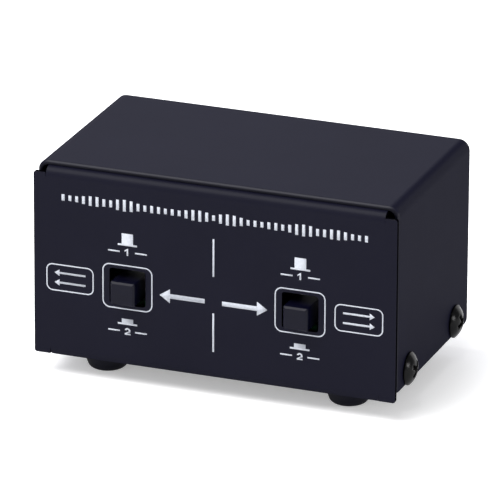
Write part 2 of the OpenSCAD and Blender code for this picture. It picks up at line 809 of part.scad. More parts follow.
// The sprung centre contacts of a block, each closed behind and with a leg down through the board
module jack_contacts(x) {
    color(brass) for (dx = socket_xs, row = [0, 1])
        translate([x + dx, 0, 0]) {
            end_y = contact_end_ys[row];
            along_y([0, 0, socket_zs[row]]) difference() {
                rod(contact_r, end_y, contact_tip_y);
                rod(contact_bore / 2, contact_tip_y - contact_depth, contact_tip_y + 1);
            }
            translate([-leg_w / 2, end_y, pin_bottom]) cube([leg_w, leg_t, socket_zs[row] - pin_bottom]);
        }
}

// The plate that joins the four shells of a block and takes them to the board
module ground_plate(x) {
    plate_w = ground_spread + leg_w;
    color(steel) difference() {
        union() {
            translate([x - plate_w / 2, ground_y, ground_bottom]) cube([plate_w, leg_t, ground_h]);
            for (dx = [-1, 1] * ground_spread / 2)
                translate([x + dx - leg_w / 2, ground_y, pin_bottom])
                    cube([leg_w, leg_t, ground_bottom - pin_bottom + 1]);
        }
        for (dx = socket_xs, z = socket_zs)
            along_y([x + dx, 0, z]) rod(contact_r + hole_gap, ground_y - 1, jack_in_y + 1);
    }
}

// The screws that hold the socket blocks to the rear panel
module jack_screws() {
    color(steel) for (x = [output_jack_x, input_jack_x])
        along_y([x, rear_y, jack_screw_z]) small_screw(jack_screw_l);
}

chassis_front();
chassis_floor();
chassis_rear();
cover();
side_screws();
clinch_nuts();
feet();
foot_screws();
standoffs();
circuit_board();
board_screws();
switch_housing(output_x);  // output_switch_housing
switch_base(output_x);  // output_switch_base
switch_terminals(output_x);  // output_switch_terminals
plunger(output_x);  // output_plunger
contact_clips(output_x);  // output_contact_clips
return_spring(output_x);  // output_return_spring
latch_lever(output_x);  // output_latch_lever
button_cap(output_x);  // output_button_cap
switch_housing(input_x);  // input_switch_housing
switch_base(input_x);  // input_switch_base
switch_terminals(input_x);  // input_switch_terminals
plunger(input_x);  // input_plunger
contact_clips(input_x);  // input_contact_clips
return_spring(input_x);  // input_return_spring
latch_lever(input_x);  // input_latch_lever
button_cap(input_x);  // input_button_cap
jack_housing(output_jack_x);  // output_jack_housing
jack_shells(output_jack_x);  // output_jack_shells
jack_inserts(output_jack_x + socket_xs[0], socket_white);  // output_left_inserts
jack_inserts(output_jack_x + socket_xs[1], socket_red);  // output_right_inserts
jack_contacts(output_jack_x);  // output_jack_contacts
ground_plate(output_jack_x);  // output_ground_plate
jack_housing(input_jack_x);  // input_jack_housing
jack_shells(input_jack_x);  // input_jack_shells
jack_inserts(input_jack_x + socket_xs[0], socket_white);  // input_left_inserts
jack_inserts(input_jack_x + socket_xs[1], socket_red);  // input_right_inserts
jack_contacts(input_jack_x);  // input_jack_contacts
ground_plate(input_jack_x);  // input_ground_plate
jack_screws();
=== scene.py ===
import math

import bmesh
import bpy
import numpy as np
from mathutils import Matrix, Vector
from mathutils.geometry import delaunay_2d_cdt


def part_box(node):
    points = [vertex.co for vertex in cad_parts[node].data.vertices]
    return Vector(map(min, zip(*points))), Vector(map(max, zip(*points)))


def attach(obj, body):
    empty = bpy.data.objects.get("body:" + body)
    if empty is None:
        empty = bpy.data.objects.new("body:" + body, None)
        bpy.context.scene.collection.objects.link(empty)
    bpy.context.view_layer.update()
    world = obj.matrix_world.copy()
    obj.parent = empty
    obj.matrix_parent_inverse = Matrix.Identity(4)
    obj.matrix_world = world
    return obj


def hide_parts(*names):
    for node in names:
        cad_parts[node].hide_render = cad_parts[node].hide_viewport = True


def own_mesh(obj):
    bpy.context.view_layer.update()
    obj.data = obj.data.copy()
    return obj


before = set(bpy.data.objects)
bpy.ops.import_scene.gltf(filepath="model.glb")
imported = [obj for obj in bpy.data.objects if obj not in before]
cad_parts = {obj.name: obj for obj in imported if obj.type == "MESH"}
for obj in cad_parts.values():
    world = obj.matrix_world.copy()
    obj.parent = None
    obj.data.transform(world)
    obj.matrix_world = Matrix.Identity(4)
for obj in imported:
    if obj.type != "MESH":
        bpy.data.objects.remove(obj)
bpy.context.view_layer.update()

# Chassis: front panel, floor, rear panel and low side flanges, cut as one blank of 1.2 mm mild steel, folded
# on a press brake and powder-coated in satin black. The cover, the sockets and the board are screwed to it.
MM = 0.001
sheet = 1.2
panel_edge_r, inner_edge_r = 0.05, 0.05
edge_ease = 1.5
bend_r = 2.6
flange_d, flange_corner_r = 8.0, 1.0
top_fold_half = 48.5
bottom_fold_half = 47.4
tab_top, tab_lift, tab_r = 58.0, 0.8, 0.7
rear_tab_gap, rear_tab_out = 0.3, 0.24
relief_w, relief_d = 0.06, 0.06
side_flange_h, side_flange_inset, side_flange_r = 13.0, 6.0, 2.0
window_w, window_h, window_r = 10.4, 10.3, 0.8
window_lift = 0.6
socket_hole_r = 5.5
small_hole_r = 1.7
arc_steps, arris_steps, screw_hole_steps = 8, 6, 24
hold = 0.04
weld_gap = 0.0002
noise_reach = (0.3, 0.7)


def node_box(node):
    """The low and high corners of a CAD node's box, in millimetres."""
    low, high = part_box(node)
    return np.array(low) / MM, np.array(high) / MM


def follow(path, start, heading, run):
    """Walk along a bent strip seen edge-on, to the distances in run. A straight stretch adds its length times
    the heading. A bend of radius R turns the heading left by length / R, and adds R times the change of
    (sin, -cos). Gives the places and the outward normals, which point to the right of the walk."""
    place = np.tile(np.array(start, float), (len(run), 1))
    angle = np.full(len(run), float(heading))
    walked = 0.0
    for length, radius in path:
        step = np.clip(run - walked, 0, length)
        if radius:
            bearing = heading + step / radius
            place[:, 0] += radius * (np.sin(bearing) - math.sin(heading))
            place[:, 1] += radius * (math.cos(heading) - np.cos(bearing))
            angle += step / radius
            heading += length / radius
        else:
            place += step[:, None] * np.array([math.cos(heading), math.sin(heading)])
        walked += length
    return place, np.column_stack([np.sin(angle), -np.cos(angle)])


def fold_lines(path):
    """Where a walked strip needs creases: at even steps through each bend, and a hair before and after."""
    starts = np.cumsum([0.0] + [length for length, _ in path])
    bends = [(s, s + length) for s, (length, radius) in zip(starts, path) if radius]
    return np.concatenate([np.r_[a - hold, np.linspace(a, b, arc_steps + 1), b + hold] for a, b in bends])


def outline(corners):
    """A closed outline from (u, v, radius) corners. Each rounded corner becomes the arc that touches both
    sides, at radius / tan(half the inner angle) from the corner, swept evenly from one side to the other."""
    spots = np.array([corner[:2] for corner in corners], float)
    share = np.linspace(0, 1, arc_steps + 1)[:, None]
    points = []
    for k, (*_, radius) in enumerate(corners):
        back = spots[k - 1] - spots[k]
        ahead = spots[(k + 1) % len(spots)] - spots[k]
        back /= np.linalg.norm(back)
        ahead /= np.linalg.norm(ahead)
        if not radius:
            points.append(spots[k][None])
            continue
        half = math.acos(back @ ahead) / 2
        sweep = math.pi - 2 * half
        middle = spots[k] + (back + ahead) / np.linalg.norm(back + ahead) * radius / math.sin(half)
        first = spots[k] + back * radius / math.tan(half) - middle
        last = spots[k] + ahead * radius / math.tan(half) - middle
        from_first, to_last = np.sin((1 - share) * sweep), np.sin(share * sweep)
        points.append(middle + (from_first * first + to_last * last) / math.sin(sweep))
    return np.vstack(points)


def rounded_loop(half_w, half_h, radius):
    """A rounded rectangle round the origin, anticlockwise: a quarter circle about each corner's middle."""
    quarter = np.repeat(np.arange(4), arc_steps + 1) * np.pi / 2
    angle = quarter + np.tile(np.linspace(0, np.pi / 2, arc_steps + 1), 4)
    diagonal = quarter + np.pi / 4
    corner = np.sign(np.column_stack([np.cos(diagonal), np.sin(diagonal)]))
    middle = corner * (half_w - radius, half_h - radius)
    return middle + radius * np.column_stack([np.cos(angle), np.sin(angle)])


def round_loop(radius, steps=48):
    """A circle round the origin, anticlockwise."""
    angle = np.arange(steps) * 2 * np.pi / steps
    return radius * np.column_stack([np.cos(angle), np.sin(angle)])


def with_ends(loop, creases):
    """The outline with the creases' ends added to the sides that they lie on."""
    near = 1e-6
    ends = np.array(creases).reshape(-1, 2)
    parts = []
    for start, end in zip(loop, np.roll(loop, -1, axis=0)):
        side = end - start
        share = (ends - start) @ side / (side @ side)
        miss = np.linalg.norm(start + share[:, None] * side - ends, axis=1)
        share = np.sort(share[(miss < near) & (share > near) & (share < 1 - near)])
        parts.append(np.vstack([start[None], start + share[:, None] * side]))
    return np.vstack(parts)


def into_sheet(loop):
    """The way into the material at each point of an outline: the left normals of its two sides, mitred."""
    ahead = np.roll(loop, -1, axis=0) - loop
    ahead /= np.linalg.norm(ahead, axis=1)[:, None]
    left = np.column_stack([-ahead[:, 1], ahead[:, 0]])
    before = np.roll(left, 1, axis=0)
    return (left + before) / (1 + (left * before).sum(axis=1))[:, None]


def inside(points, loops):
    """Even-odd test: count the sides of the outlines that a ray from each point to the right crosses."""
    crossings = np.zeros(len(points), int)
    for loop in loops:
        a, b = loop, np.roll(loop, -1, axis=0)
        spans = (a[:, 1] > points[:, 1:2]) != (b[:, 1] > points[:, 1:2])
        rise = np.where(a[:, 1] == b[:, 1], 1.0, b[:, 1] - a[:, 1])
        meets = a[:, 0] + (points[:, 1:2] - a[:, 1]) * (b[:, 0] - a[:, 0]) / rise
        crossings += (spans & (points[:, :1] < meets)).sum(axis=1)
    return crossings % 2 == 1


def folded_sheet(border, holes, creases, fold, edge_r):
    """A sheet-metal piece from its flat blank. The rim is an eased profile of inset and depth carried along
    each outline, the two faces are the triangulated blank inside it, and every flat point (u, v) goes to
    fold(u, v) minus its depth times the outward normal. A last number for each point rises from 0 on the
    faces to 0.5 on the eased arris, and on towards 1 by the share of the edge that stays flat as sheared."""
    turn = np.linspace(0, np.pi / 2, arris_steps + 1)
    bow = 1 - np.sin(turn) ** edge_ease
    sink = 1 - np.abs(np.cos(turn)) ** edge_ease
    margin = edge_r + hold
    inset = np.r_[margin, edge_r * bow, inner_edge_r * bow[::-1], margin]
    depth = np.r_[0, edge_r * sink, sheet - inner_edge_r * sink[::-1], sheet]
    flat_share = 1 - (edge_r + inner_edge_r) / sheet
    rise = np.interp(turn, (0, np.pi / 4, np.pi / 2), (0, 0.5, 0.5 + 0.5 * flat_share))
    sheared = np.r_[0, rise, rise[::-1], 0]
    points, shear, faces, rims, edges = [], [], [], [], []
    count = 0
    for loop in [with_ends(border, creases)] + holes:
        flat = loop + inset[:, None, None] * into_sheet(loop)
        place, out = fold(*flat.reshape(-1, 2).T)
        points.append(place - np.repeat(depth, len(loop))[:, None] * out)
        shear.append(np.repeat(sheared, len(loop)))
        index = count + np.arange(len(place)).reshape(len(inset), len(loop))
        onward = np.roll(index, -1, axis=1)
        faces += np.stack([onward[:-1], index[:-1], index[1:], onward[1:]], axis=-1).reshape(-1, 4).tolist()
        count += len(place)
        first = sum(len(rim) for rim in rims)
        ring = first + np.arange(len(loop))
        edges += np.column_stack([ring, np.roll(ring, -1)]).tolist()
        rims.append(flat[0])
    first = sum(len(rim) for rim in rims)
    edges += [(first + 2 * k, first + 2 * k + 1) for k in range(len(creases))]
    from_end, to_end = np.array(creases).transpose(1, 0, 2)
    step = margin * np.sign(to_end - from_end)
    blank = np.vstack(rims + [np.stack([from_end + step, to_end - step], axis=1).reshape(-1, 2)])
    same_spot = 1e-5
    spots, _, triangles, *_ = delaunay_2d_cdt([Vector(p) for p in blank], edges, [], 0, same_spot)
    spots, triangles = np.array(spots), np.array(triangles)
    triangles = triangles[inside(spots[triangles].mean(axis=1), rims)]
    place, out = fold(*spots.T)
    points += [place, place - sheet * out]
    shear.append(np.zeros(2 * len(spots)))
    faces += (triangles + count).tolist()
    faces += (triangles[:, ::-1] + count + len(spots)).tolist()
    a, b, c = place[triangles[0]]
    if np.cross(b - a, c - a) @ out[triangles[0][0]] < 0:
        faces = [face[::-1] for face in faces]
    return np.vstack(points), faces, np.concatenate(shear)


def make_piece(name, shape, material, body, replaces=()):
    """Put a computed surface into a mesh, weld what coincides, and let it ride on a body of the frame. Sheet
    metal brings a third array along, which marks its arrises and sheared edges."""
    points, faces, *marks = shape
    mesh = bpy.data.meshes.new(name)
    mesh.from_pydata((np.asarray(points) * MM).tolist(), [], faces)
    if marks:
        mesh.attributes.new("sheared", "FLOAT", "POINT").data.foreach_set("value", marks[0])
    welded = bmesh.new()
    welded.from_mesh(mesh)
    bmesh.ops.remove_doubles(welded, verts=welded.verts, dist=weld_gap * MM)
    welded.to_mesh(mesh)
    welded.free()
    mesh.shade_smooth()
    mesh.materials.append(material)
    piece = bpy.data.objects.new(name, mesh)
    bpy.context.collection.objects.link(piece)
    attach(piece, body)
    if replaces:
        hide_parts(*replaces)
    return piece


def srgb(red, green, blue):
    """A screen colour in 0 to 255, as the linear colour that a shader takes."""
    share = np.array([red, green, blue]) / 255
    linear = np.where(share <= 0.04045, share / 12.92, ((share + 0.055) / 1.055) ** 2.4)
    return (*linear.tolist(), 1.0)


def finish_material(name, values):
    """A Principled material with its plain values set on the shader's own sockets."""
    material = bpy.data.materials.new(name)
    material.use_nodes = True
    shader = material.node_tree.nodes["Principled BSDF"]
    for socket, value in values.items():
        shader.inputs[socket].default_value = value
    return material, material.node_tree, shader


def grain(tree, wavelength, detail=3.0, stretch=(1, 1, 1)):
    """Noise in the object's own metres, with a main wavelength in millimetres."""
    place = tree.nodes.new("ShaderNodeTexCoord")
    mapping = tree.nodes.new("ShaderNodeMapping")
    mapping.inputs["Scale"].default_value = stretch
    noise = tree.nodes.new("ShaderNodeTexNoise")
    noise.inputs["Scale"].default_value = 1 / (wavelength * MM)
    noise.inputs["Detail"].default_value = detail
    tree.links.new(place.outputs["Object"], mapping.inputs["Vector"])
    tree.links.new(mapping.outputs["Vector"], noise.inputs["Vector"])
    return noise.outputs["Fac"]


def vary_value(tree, factor, socket, low, high, reach=noise_reach):
    """Drive a number socket between two values by a texture's factor, over the reach of the factor."""
    span = tree.nodes.new("ShaderNodeMapRange")
    span.inputs["From Min"].default_value, span.inputs["From Max"].default_value = reach
    span.inputs["To Min"].default_value = low
    span.inputs["To Max"].default_value = high
    tree.links.new(factor, span.inputs["Value"])
    tree.links.new(span.outputs["Result"], socket)


def grade(tree, factor, socket, stops):
    """Drive a socket by (place, colour) stops along a factor."""
    ramp = tree.nodes.new("ShaderNodeValToRGB")
    marks = ramp.color_ramp.elements
    while len(marks) < len(stops):
        marks.new(0.5)
    for mark, (place, colour) in zip(marks, stops):
        mark.position = place
        mark.color = colour
    tree.links.new(factor, ramp.inputs["Fac"])
    tree.links.new(ramp.outputs["Color"], socket)


def vary_colour(tree, factor, socket, low, high):
    """Drive a colour socket between two colours by a texture's factor."""
    grade(tree, factor, socket, list(zip(noise_reach, (low, high))))


def emboss(tree, factor, shader, height, strength=1.0):
    """Bump the surface and its coat by a texture's factor, with the height in millimetres."""
    bump = tree.nodes.new("ShaderNodeBump")
    bump.inputs["Distance"].default_value = height * MM
    bump.inputs["Strength"].default_value = strength
    tree.links.new(factor, bump.inputs["Height"])
    tree.links.new(bump.outputs["Normal"], shader.inputs["Normal"])
    tree.links.new(bump.outputs["Normal"], shader.inputs["Coat Normal"])


def powder_coat():
    """Satin black powder coat: matt blue-black under a thin shine, with a slow cloudiness of tone and the
    fine orange peel of the bake. It shines on the eased arrises. Over the flat of the sheared edges its shine
    is taken off and its colour goes to near black, as painted shade."""
    arris, full_painted_shade = 0.5, 0.85
    shine = {"Specular IOR Level": 0.0, "Coat IOR": 2.0, "Coat Roughness": 0.42}
    material, tree, shader = finish_material("powder_coat", shine)
    clouds = grain(tree, 18.0)
    peel = grain(tree, 0.9, detail=2.0)
    sheared = tree.nodes.new("ShaderNodeAttribute")
    sheared.attribute_name = "sheared"
    # Painted shade: as the mark rises from the arris to its full value, the colour of the sheared edges is
    # mixed towards near black, srgb(4, 4, 6).
    coat = tree.nodes.new("ShaderNodeMix")
    coat.data_type = "RGBA"
    coat.inputs["B"].default_value = srgb(4, 4, 6)
    vary_value(tree, sheared.outputs["Fac"], coat.inputs["Factor"], 0.0, 1.0, (arris, full_painted_shade))
    vary_colour(tree, clouds, coat.inputs["A"], srgb(14, 14, 29), srgb(16, 16, 31))
    tree.links.new(coat.outputs["Result"], shader.inputs["Base Color"])
    coat_weights = ((0.0, 0.066), (arris, 0.16), (full_painted_shade, 0.0))
    coat_stops = [(place, (weight, weight, weight, 1)) for place, weight in coat_weights]
    grade(tree, sheared.outputs["Fac"], shader.inputs["Coat Weight"], coat_stops)
    vary_value(tree, peel, shader.inputs["Roughness"], 0.6, 0.7)
    emboss(tree, peel, shader, 0.01, 0.25)
    return material


case_coat = powder_coat()
front_low, front_high = node_box("chassis_front")
_, rear_high = node_box("chassis_rear")
_, floor_high = node_box("chassis_floor")
front_y, rear_y = front_low[1], rear_high[1]
floor_z, flange_top = front_low[2], front_high[2]
panel_half, tray_half = front_high[0], floor_high[0]
panel_tops = flange_top - bend_r
tab_bottom = floor_z + tab_lift
rear_tab_bottom, rear_tab_top = floor_z + bend_r + rear_tab_gap, panel_tops - rear_tab_gap
rear_half = tray_half + rear_tab_out

bend_run = bend_r * math.pi / 2
panel_run = flange_top - floor_z - 2 * bend_r
floor_run = rear_y - front_y - 2 * bend_r
strip_path = [
    (flange_d - bend_r, 0), (bend_run, bend_r), (panel_run, 0), (bend_run, bend_r), (floor_run, 0),
    (bend_run, bend_r), (panel_run, 0), (bend_run, bend_r), (flange_d - bend_r, 0)]
stations = np.cumsum([0.0] + [length for length, _ in strip_path])
front_start, front_end = stations[2], stations[3]
floor_start, floor_end = stations[4], stations[5]
rear_start, rear_end = stations[6], stations[7]
wing_path = [(tray_half - bend_r, 0), (bend_run, bend_r), (side_flange_h - bend_r, 0)]
wing_end = sum(length for length, _ in wing_path)


def front_v(z):
    """How far along the strip a height on the front panel lies."""
    return front_start + panel_tops - z


def floor_v(y):
    """How far along the strip a depth on the floor lies."""
    return floor_start + y - front_y - bend_r


def rear_v(z):
    """How far along the strip a height on the rear panel lies."""
    return rear_start + z - floor_z - bend_r


def fold_chassis(u, v):
    """Fold the blank: v walks the strip from the front flange over the front panel, the floor and the rear
    panel to the rear flange, |u| walks from the floor's middle up a side flange, and the front tabs stay flat
    past the bends."""
    strip, strip_out = follow(strip_path, (front_y + flange_d, flange_top), math.pi, v)
    neck = np.where(v < (front_start + front_end) / 2, top_fold_half, bottom_fold_half) + relief_w / 2
    tab = (np.abs(u) > neck) & (v < front_end + bend_run / 2)
    y = np.where(tab, front_y, strip[:, 0])
    z = np.where(tab, panel_tops - (v - front_start), strip[:, 1])
    out_y = np.where(tab, -1, strip_out[:, 0])
    out_z = np.where(tab, 0, strip_out[:, 1])
    out = np.column_stack([np.zeros(len(u)), out_y, out_z])
    wing, wing_out = follow(wing_path, (0.0, floor_z), 0.0, np.abs(u))
    on_floor = (v > floor_start) & (v < floor_end)
    x = np.where(on_floor, np.sign(u) * wing[:, 0], u)
    z = np.where(on_floor, wing[:, 1], z)
    out[on_floor, 0] = (np.sign(u) * wing_out[:, 0])[on_floor]
    out[on_floor, 2] = wing_out[on_floor, 1]
    return np.column_stack([x, y, z]), out


wing_front = floor_v(front_y + sheet + side_flange_inset)
wing_rear = floor_v(rear_y - sheet - side_flange_inset)
right_side = [
    (top_fold_half, 0, flange_corner_r),
    (top_fold_half, front_start + relief_d, 0),
    (top_fold_half + relief_w, front_start + relief_d, 0),
    (top_fold_half + relief_w, front_v(tab_top), 0),
    (panel_half, front_v(tab_top), tab_r),
    (panel_half, front_v(tab_bottom), tab_r),
    (bottom_fold_half + relief_w, front_v(tab_bottom), 0),
    (bottom_fold_half + relief_w, front_end - relief_d, 0),
    (bottom_fold_half, front_end - relief_d, 0),
    (bottom_fold_half, wing_front, 0),
    (wing_end, wing_front, side_flange_r),
    (wing_end, wing_rear, side_flange_r),
    (bottom_fold_half, wing_rear, 0),
    (bottom_fold_half, rear_v(rear_tab_bottom), 0),
    (rear_half, rear_v(rear_tab_bottom), tab_r),
    (rear_half, rear_v(rear_tab_top), 0),
    (top_fold_half, rear_v(rear_tab_top), 0),
    (top_fold_half, stations[-1], flange_corner_r)]
left_side = [(-u, v, radius) for u, v, radius in reversed(right_side)]
strip_lines = fold_lines(strip_path)
wing_lines = fold_lines(wing_path)
wing_lines = np.concatenate([-wing_lines[::-1], wing_lines])
chassis_border = outline(right_side + left_side)

cap_low, cap_high = node_box("output_button_cap")
button_x = -(cap_low[0] + cap_high[0]) / 2
button_z = (cap_low[2] + cap_high[2]) / 2
window_z = button_z + window_lift
foot_low, foot_high = node_box("feet")
foot_r = 6.75
foot_spots = [(x, y) for x in (foot_low[0] + foot_r, foot_high[0] - foot_r)
              for y in (foot_low[1] + foot_r, foot_high[1] - foot_r)]
shell_low, shell_high = node_box("output_jack_shells")
shell_flange_r = 5.0
socket_outer_x, socket_inner_x = -shell_low[0] - shell_flange_r, -shell_high[0] + shell_flange_r
socket_xs = (-socket_outer_x, -socket_inner_x, socket_inner_x, socket_outer_x)
socket_zs = (shell_low[2] + shell_flange_r, shell_high[2] - shell_flange_r)
jack_screw_x = (socket_outer_x + socket_inner_x) / 2
jack_screw_z = sum(socket_zs) / 2
window = rounded_loop(window_w / 2, window_h / 2, window_r)
screw_hole = round_loop(small_hole_r, screw_hole_steps)
holes = [window + (side * button_x, front_v(window_z)) for side in (-1, 1)]
holes += [round_loop(socket_hole_r) + (x, rear_v(z)) for x in socket_xs for z in socket_zs]
holes += [screw_hole + (side * jack_screw_x, rear_v(jack_screw_z)) for side in (-1, 1)]
holes += [screw_hole + (x, floor_v(y)) for x, y in foot_spots]

on_flange_bend = (strip_lines < front_start + bend_r) | (strip_lines > rear_end - bend_r)
strip_halves = np.where(on_flange_bend, top_fold_half, bottom_fold_half)
chassis_creases = [((-half, v), (half, v)) for half, v in zip(strip_halves, strip_lines)]
chassis_creases += [((u, wing_front), (u, wing_rear)) for u in wing_lines]
chassis_holes = [hole[::-1] for hole in holes]
chassis_shape = folded_sheet(chassis_border, chassis_holes, chassis_creases, fold_chassis, panel_edge_r)
make_piece("chassis", chassis_shape, case_coat, "case",
           ("chassis_front", "chassis_floor", "chassis_rear"))

# Cover: the top and both side walls, one blank of the same sheet bent twice over a larger radius and coated
# with the chassis. It slides over the chassis from above and stops short of the front panel's bend.
cover_bend_r = 3.1
cover_corner_r = 2.0
cover_edge_r = 0.7
cover_low, cover_high = node_box("cover")
cover_wall_run = cover_high[2] - cover_low[2] - cover_bend_r
cover_bend_run = cover_bend_r * math.pi / 2
cover_top_run = cover_high[0] - cover_low[0] - 2 * cover_bend_r
cover_path = [
    (cover_wall_run, 0), (cover_bend_run, cover_bend_r), (cover_top_run, 0), (cover_bend_run, cover_bend_r),
    (cover_wall_run, 0)]
cover_end = sum(length for length, _ in cover_path)
cover_lines = fold_lines(cover_path)


def fold_cover(u, v):
    """Fold the blank: u walks up the right wall, over the top and down the left wall. v is the depth."""
    across, across_out = follow(cover_path, (cover_high[0], cover_low[2]), math.pi / 2, u)
    place = np.column_stack([across[:, 0], v, across[:, 1]])
    return place, np.column_stack([across_out[:, 0], np.zeros(len(u)), across_out[:, 1]])


cover_corners = [
    (0, cover_low[1], cover_corner_r), (cover_end, cover_low[1], cover_corner_r),
    (cover_end, cover_high[1], cover_corner_r), (0, cover_high[1], cover_corner_r)]
cover_creases = [((u, cover_low[1]), (u, cover_high[1])) for u in cover_lines]
cover_shape = folded_sheet(outline(cover_corners), [], cover_creases, fold_cover, cover_edge_r)
make_piece("cover", cover_shape, case_coat, "case", ("cover",))

# Cover screws: four M4 truss heads of hardened steel, blacked and oiled, so they shine more than the coat.
# Each goes through the cover's wall into a nut that is pressed into the side flange.
screw_head_r, screw_head_h, screw_rim_h = 4.6, 2.4, 0.5
screw_shank_r, screw_shank_l = 2.0, 6.0
recess_half_w, recess_half_l, recess_depth, recess_fade = 0.13, 0.5, 0.55, 0.45
recess_edge, seat_edge = 0.2, 0.1
dome_steps, head_steps = 44, 120
screw_twist, screw_row_twist, screw_side_twist = 0.35, 0.6, 0.25
screw_low, screw_high = node_box("side_screws")


def loft(rings, closed=False):
    """Quads between neighbouring rings of points, each ring closed on itself. A stack that doesn't close gets
    a flat face at each end."""
    count, around = rings.shape[:2]
    index = np.arange(count * around).reshape(count, around)
    lower, upper = (index, np.roll(index, -1, axis=0)) if closed else (index[:-1], index[1:])
    quads = np.stack([lower, np.roll(lower, -1, axis=1), np.roll(upper, -1, axis=1), upper], axis=-1)
    ends = [] if closed else [index[0][::-1].tolist(), index[-1].tolist()]
    return rings.reshape(-1, 3), quads.reshape(-1, 4).tolist() + ends


def turned(radius, height, at, axis, around=72):
    """Rings of a turned piece: at + height along the axis + radius times (cos, sin) across it. The height is
    one number a ring, or one for each point of a ring."""
    axis = np.array(axis, float)
    across = np.roll(axis, 1)
    other = np.cross(axis, across)
    angle = np.arange(around) * 2 * np.pi / around
    spoke = np.cos(angle)[:, None] * across + np.sin(angle)[:, None] * other
    height = np.broadcast_to(np.asarray(height).reshape(len(radius), -1), (len(radius), around))
    return np.array(at) + height[..., None] * axis + np.asarray(radius)[:, None, None] * spoke


def gather(shapes):
    """Several shapes as one: their points stacked, and their faces counted on."""
    starts = np.cumsum([0] + [len(points) for points, _ in shapes])
    faces = [[start + k for k in face] for start, (_, part) in zip(starts, shapes) for face in part]
    return np.vstack([points for points, _ in shapes]), faces


def cross_screw(at, axis, head, shank, twist):
    """A screw with a domed head over its seat. The dome is a spherical cap over a short rim. The cross recess
    has half its width and length as shares of the head's radius. It sinks the dome by a share of the head's
    height that fades outwards, and that falls smoothly, as 3 f^2 - 2 f^3, over the recess's edge."""
    head_r, head_h, rim_h = head
    shank_r, shank_l = shank
    sag = head_h - rim_h
    dome_r = (head_r ** 2 + sag ** 2) / (2 * sag)
    rim_turn, pole_turn = 0.12, np.pi / 2 - 0.02
    spread = head_r * np.cos(np.linspace(rim_turn, pole_turn, dome_steps))
    dome = head_h - dome_r + np.sqrt(dome_r ** 2 - spread ** 2)
    angle = np.arange(head_steps) * 2 * np.pi / head_steps + twist
    along = np.abs(spread[:, None] * np.cos(angle))
    across = np.abs(spread[:, None] * np.sin(angle))
    past_side = np.minimum(along, across) - head_r * recess_half_w
    past_end = np.maximum(along, across) - head_r * recess_half_l
    fall = np.clip(0.5 - np.maximum(past_side, past_end) / recess_edge, 0, 1)
    depth = head_h * recess_depth * (1 - recess_fade * spread[:, None] / head_r)
    sink = depth * fall * fall * (3 - 2 * fall)
    point_r, point_l = shank_r * 0.8, shank_r * 0.3
    stem_r = np.array([point_r, shank_r, shank_r, head_r - seat_edge, head_r, head_r])
    stem_h = np.array([-shank_l, point_l - shank_l, 0, 0, seat_edge, rim_h * 0.9])
    heights = np.vstack([np.repeat(stem_h[:, None], head_steps, axis=1), dome[:, None] - sink])
    return loft(turned(np.r_[stem_r, spread], heights, at, axis, head_steps))


def blacked_steel():
    """Oiled black oxide on steel: nearly black, fairly smooth and a little uneven."""
    material, tree, shader = finish_material("blacked_steel", {"Specular IOR Level": 0.1})
    mottle = grain(tree, 1.6)
    vary_colour(tree, mottle, shader.inputs["Base Color"], srgb(4, 4, 5), srgb(9, 9, 10))
    vary_value(tree, mottle, shader.inputs["Roughness"], 0.18, 0.26)
    emboss(tree, mottle, shader, 0.02, 0.3)
    return material


screw_black = blacked_steel()
side_screw_z = (screw_low[2] + screw_high[2]) / 2
side_screw_ys = (screw_low[1] + screw_head_r, screw_high[1] - screw_head_r)
side_screw_head = (screw_head_r, screw_head_h, screw_rim_h)
side_screw_shank = (screw_shank_r, screw_shank_l)
side_screws = [
    cross_screw((side * cover_high[0], y, side_screw_z), (side, 0, 0), side_screw_head, side_screw_shank,
                screw_twist + screw_row_twist * k + screw_side_twist * side)
    for side in (-1, 1) for k, y in enumerate(side_screw_ys)]
make_piece("side_screws", gather(side_screws), screw_black, "case", ("side_screws",))

# Nuts: four round nuts of zinc-plated steel with the thread for the cover screws. Each is pressed into a hole
# in a side flange and stays there when the cover comes off.


def zinc_plate():
    """Bright zinc on steel: a grey metal with faint cloudy patches and fine rolling marks."""
    material, tree, shader = finish_material("zinc_plate", {"Metallic": 1.0})
    clouds = grain(tree, 4.0)
    rolled = grain(tree, 0.5, stretch=(1, 0.1, 1))
    vary_colour(tree, clouds, shader.inputs["Base Color"], srgb(176, 178, 180), srgb(204, 205, 205))
    vary_value(tree, rolled, shader.inputs["Roughness"], 0.31, 0.36)
    emboss(tree, rolled, shader, 0.01, 0.03)
    return material


def dress(node, material):
    """Give a CAD node that stays as it is a finished material."""
    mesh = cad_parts[node].data
    mesh.materials.clear()
    mesh.materials.append(material)


zinc = zinc_plate()
dress("clinch_nuts", zinc)

# Feet: four tapered feet of moulded black rubber, each with a recess in its sole for the screw that goes
# through it and the floor into a standoff.
foot_tip_r, foot_round, foot_lean = 5.6, 1.9, 0.2
foot_recess_r, foot_recess_ease, foot_sink = 3.15, 0.3, 2.8
foot_lip_low, foot_lip_high, foot_lip_out, foot_top_ease = 0.5, 0.2, 0.12, 0.3


def moulded_foot(at):
    """A turned foot: the sole's ring, a rounded edge, the tapered side, a lip at the top, and the stepped
    hole. The rounded edge is an arc that ends at the lean of the side, in radians."""
    turn = np.linspace(-np.pi / 2, -foot_lean, arc_steps)
    edge_r = foot_tip_r - foot_round + foot_round * np.cos(turn)
    edge_h = foot_round + foot_round * np.sin(turn)
    lip_r = [foot_r - foot_lip_out, foot_r, foot_r - foot_top_ease]
    lip_h = [floor_z - foot_lip_low, floor_z - foot_lip_high, floor_z]
    hole_r = [small_hole_r, small_hole_r, foot_recess_r, foot_recess_r]
    hole_h = [floor_z, foot_sink, foot_sink, foot_recess_ease]
    radius = np.r_[foot_recess_r + foot_recess_ease, edge_r, lip_r, hole_r]
    height = np.r_[0, edge_h, lip_h, hole_h]
    return loft(turned(radius, height, at, (0, 0, 1)), closed=True)


